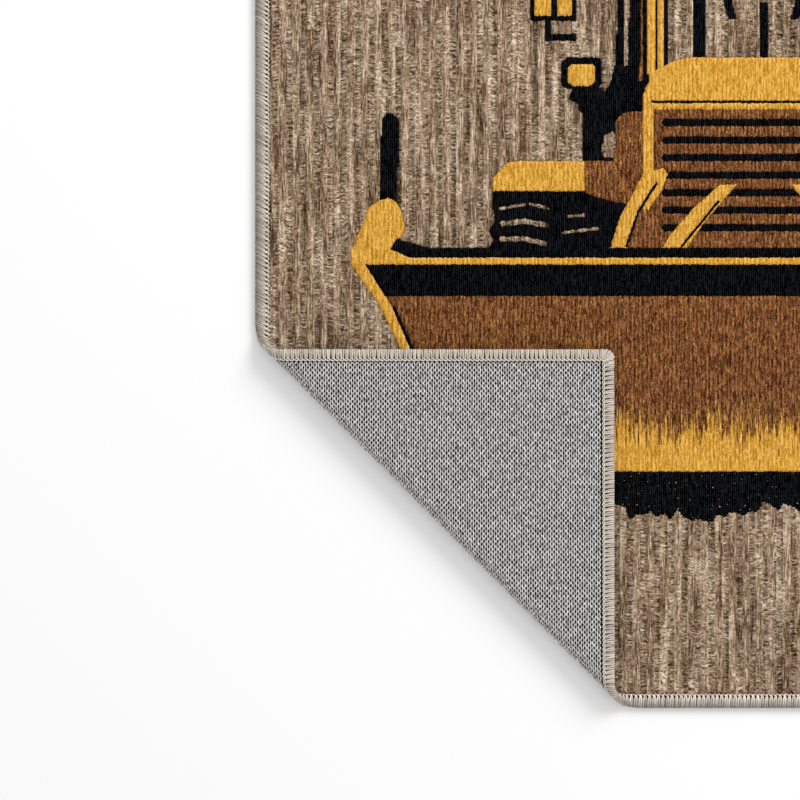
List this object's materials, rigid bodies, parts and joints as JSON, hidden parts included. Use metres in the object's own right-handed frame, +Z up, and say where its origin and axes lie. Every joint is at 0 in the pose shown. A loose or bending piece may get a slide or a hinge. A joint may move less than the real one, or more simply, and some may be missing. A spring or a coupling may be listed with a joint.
{
  "type": "area rug",
  "caption": "Flat chenille area rug with a construction-vehicle picture in its pile, a serged edge, a grey cloth back and one corner turned over onto the face.",
  "frame": {"origin": "middle of the rug's underside, on the surface that it lies on", "axes": "+Z up out of the pile, +Y along the rug's length towards the top of its picture, +X to the picture's right"},
  "size_m": [0.61, 0.914, 0.0131],
  "materials": {
    "ground_yarn": "matte, brushed chenille, streaked taupe",
    "gold_yarn": "soft satin thread",
    "brown_yarn": "matte thread with darker streaks",
    "black_yarn": "matte thread",
    "latex": "matte",
    "backing": "matte, heather grey open weave",
    "serging": "soft satin yarn"
  },
  "bodies": {
    "field": {"ground_pile": "ground_yarn", "gold_pile": "gold_yarn", "brown_pile": "brown_yarn", "black_pile": "black_yarn", "latex_coat": "latex", "backing_cloth": "backing", "edge_serging": "serging"},
    "bend_strip_1": {"fold_pile_1": "ground_yarn", "fold_latex_1": "latex", "fold_backing_1": "backing", "fold_serging_1": "serging"},
    "bend_strip_2": {"fold_pile_2": "ground_yarn", "fold_latex_2": "latex", "fold_backing_2": "backing", "fold_serging_2": "serging"},
    "bend_strip_3": {"fold_pile_3": "ground_yarn", "fold_latex_3": "latex", "fold_backing_3": "backing", "fold_serging_3": "serging"},
    "corner": {"corner_pile": "ground_yarn", "corner_latex": "latex", "corner_backing": "backing", "corner_serging": "serging"}
  },
  "joints": [
    {"name": "bend_1", "type": "hinge", "parent": "field", "child": "bend_strip_1", "pos_m": [-0.19192, -0.34392, 0.00034], "axis": [0.7071, -0.7071, 0], "range_deg": [0, 45.42]},
    {"name": "bend_2", "type": "hinge", "parent": "bend_strip_1", "child": "bend_strip_2", "pos_m": [-0.19447, -0.34647, 0.00401], "axis": [0.7071, -0.7071, 0], "range_deg": [0, 45.42]},
    {"name": "bend_3", "type": "hinge", "parent": "bend_strip_2", "child": "bend_strip_3", "pos_m": [-0.19442, -0.34642, 0.00917], "axis": [0.7071, -0.7071, 0], "range_deg": [0, 45.42]},
    {"name": "bend_4", "type": "hinge", "parent": "bend_strip_3", "child": "corner", "pos_m": [-0.19179, -0.34379, 0.01273], "axis": [0.7071, -0.7071, 0], "range_deg": [0, 45.42]}
  ],
  "couplings": [
    {"joint": "bend_1", "follows": "bend_4", "ratio": 1},
    {"joint": "bend_2", "follows": "bend_4", "ratio": 1},
    {"joint": "bend_3", "follows": "bend_4", "ratio": 1}
  ]
}
